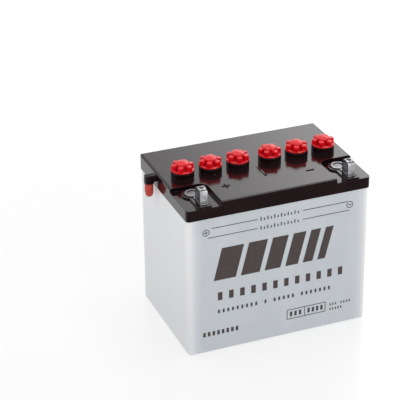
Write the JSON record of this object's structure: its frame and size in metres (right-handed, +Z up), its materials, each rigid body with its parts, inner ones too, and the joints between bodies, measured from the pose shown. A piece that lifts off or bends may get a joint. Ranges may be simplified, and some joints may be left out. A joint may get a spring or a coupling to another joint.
{
  "type": "motorcycle battery",
  "caption": "Flooded motorcycle battery with a translucent case, black cover, screw-in filler plugs, folded strap terminals and a capped side vent.",
  "frame": {"origin": "centre of the case's flat base", "axes": "+X along the front from the positive to the negative terminal, +Y from the front to the back, +Z up"},
  "size_m": [0.1951, 0.124, 0.1709],
  "materials": {
    "case_plastic": "translucent natural polypropylene, satin",
    "cover_plastic": "black polypropylene, high gloss",
    "plug_plastic": "bright red, glossy",
    "vent_rubber": "orange-red soft rubber",
    "seal_rubber": "black rubber",
    "lead": "cast lead alloy, silvery grey",
    "positive_paste": "dark brown lead dioxide paste, matt",
    "negative_paste": "grey spongy lead paste, matt",
    "separator_sheet": "off-white fibre sheet"
  },
  "bodies": {
    "battery": {"case": "case_plastic", "cover": "cover_plastic", "vent_elbow": "cover_plastic", "positive_lug": "lead", "negative_lug": "lead", "positive_bushing": "lead", "negative_bushing": "lead", "positive_post": "lead", "negative_post": "lead", "positive_plates_1": "positive_paste", "positive_plates_2": "positive_paste", "positive_plates_3": "positive_paste", "positive_plates_4": "positive_paste", "positive_plates_5": "positive_paste", "positive_plates_6": "positive_paste", "negative_plates_1": "negative_paste", "negative_plates_2": "negative_paste", "negative_plates_3": "negative_paste", "negative_plates_4": "negative_paste", "negative_plates_5": "negative_paste", "negative_plates_6": "negative_paste", "separators_1": "separator_sheet", "separators_2": "separator_sheet", "separators_3": "separator_sheet", "separators_4": "separator_sheet", "separators_5": "separator_sheet", "separators_6": "separator_sheet", "positive_strap_1": "lead", "positive_strap_2": "lead", "positive_strap_3": "lead", "positive_strap_4": "lead", "positive_strap_5": "lead", "positive_strap_6": "lead", "negative_strap_1": "lead", "negative_strap_2": "lead", "negative_strap_3": "lead", "negative_strap_4": "lead", "negative_strap_5": "lead", "negative_strap_6": "lead", "cell_connector_1": "lead", "cell_connector_2": "lead", "cell_connector_3": "lead", "cell_connector_4": "lead", "cell_connector_5": "lead"},
    "seal_1": {"plug_seal_1": "seal_rubber"},
    "plug_1": {"filler_plug_1": "plug_plastic"},
    "seal_2": {"plug_seal_2": "seal_rubber"},
    "plug_2": {"filler_plug_2": "plug_plastic"},
    "seal_3": {"plug_seal_3": "seal_rubber"},
    "plug_3": {"filler_plug_3": "plug_plastic"},
    "seal_4": {"plug_seal_4": "seal_rubber"},
    "plug_4": {"filler_plug_4": "plug_plastic"},
    "seal_5": {"plug_seal_5": "seal_rubber"},
    "plug_5": {"filler_plug_5": "plug_plastic"},
    "seal_6": {"plug_seal_6": "seal_rubber"},
    "plug_6": {"filler_plug_6": "plug_plastic"},
    "vent_cap": {"vent_cap": "vent_rubber"}
  },
  "joints": [
    {"name": "plug_1_lift", "type": "slide", "parent": "battery", "child": "seal_1", "axis": [0, 0, 1], "range_m": [0, 0.0151]},
    {"name": "plug_1_turn", "type": "hinge", "parent": "seal_1", "child": "plug_1", "pos_m": [-0.0707, 0.0022, 0.1614], "axis": [0, 0, 1], "range_deg": [0, 1800]},
    {"name": "plug_2_lift", "type": "slide", "parent": "battery", "child": "seal_2", "axis": [0, 0, 1], "range_m": [0, 0.0151]},
    {"name": "plug_2_turn", "type": "hinge", "parent": "seal_2", "child": "plug_2", "pos_m": [-0.0429, 0.0022, 0.1614], "axis": [0, 0, 1], "range_deg": [0, 1800]},
    {"name": "plug_3_lift", "type": "slide", "parent": "battery", "child": "seal_3", "axis": [0, 0, 1], "range_m": [0, 0.0151]},
    {"name": "plug_3_turn", "type": "hinge", "parent": "seal_3", "child": "plug_3", "pos_m": [-0.0151, 0.0022, 0.1614], "axis": [0, 0, 1], "range_deg": [0, 1800]},
    {"name": "plug_4_lift", "type": "slide", "parent": "battery", "child": "seal_4", "axis": [0, 0, 1], "range_m": [0, 0.0151]},
    {"name": "plug_4_turn", "type": "hinge", "parent": "seal_4", "child": "plug_4", "pos_m": [0.0175, 0.0022, 0.1614], "axis": [0, 0, 1], "range_deg": [0, 1800]},
    {"name": "plug_5_lift", "type": "slide", "parent": "battery", "child": "seal_5", "axis": [0, 0, 1], "range_m": [0, 0.0151]},
    {"name": "plug_5_turn", "type": "hinge", "parent": "seal_5", "child": "plug_5", "pos_m": [0.0453, 0.0022, 0.1614], "axis": [0, 0, 1], "range_deg": [0, 1800]},
    {"name": "plug_6_lift", "type": "slide", "parent": "battery", "child": "seal_6", "axis": [0, 0, 1], "range_m": [0, 0.0151]},
    {"name": "plug_6_turn", "type": "hinge", "parent": "seal_6", "child": "plug_6", "pos_m": [0.0731, 0.0022, 0.1614], "axis": [0, 0, 1], "range_deg": [0, 1800]},
    {"name": "vent_cap_pull", "type": "slide", "parent": "battery", "child": "vent_cap", "axis": [0, 0, -1], "range_m": [0, 0.016]}
  ],
  "couplings": [
    {"joint": "plug_1_lift", "follows": "plug_1_turn", "m_per_rad": 0.00047746},
    {"joint": "plug_2_lift", "follows": "plug_2_turn", "m_per_rad": 0.00047746},
    {"joint": "plug_3_lift", "follows": "plug_3_turn", "m_per_rad": 0.00047746},
    {"joint": "plug_4_lift", "follows": "plug_4_turn", "m_per_rad": 0.00047746},
    {"joint": "plug_5_lift", "follows": "plug_5_turn", "m_per_rad": 0.00047746},
    {"joint": "plug_6_lift", "follows": "plug_6_turn", "m_per_rad": 0.00047746}
  ]
}
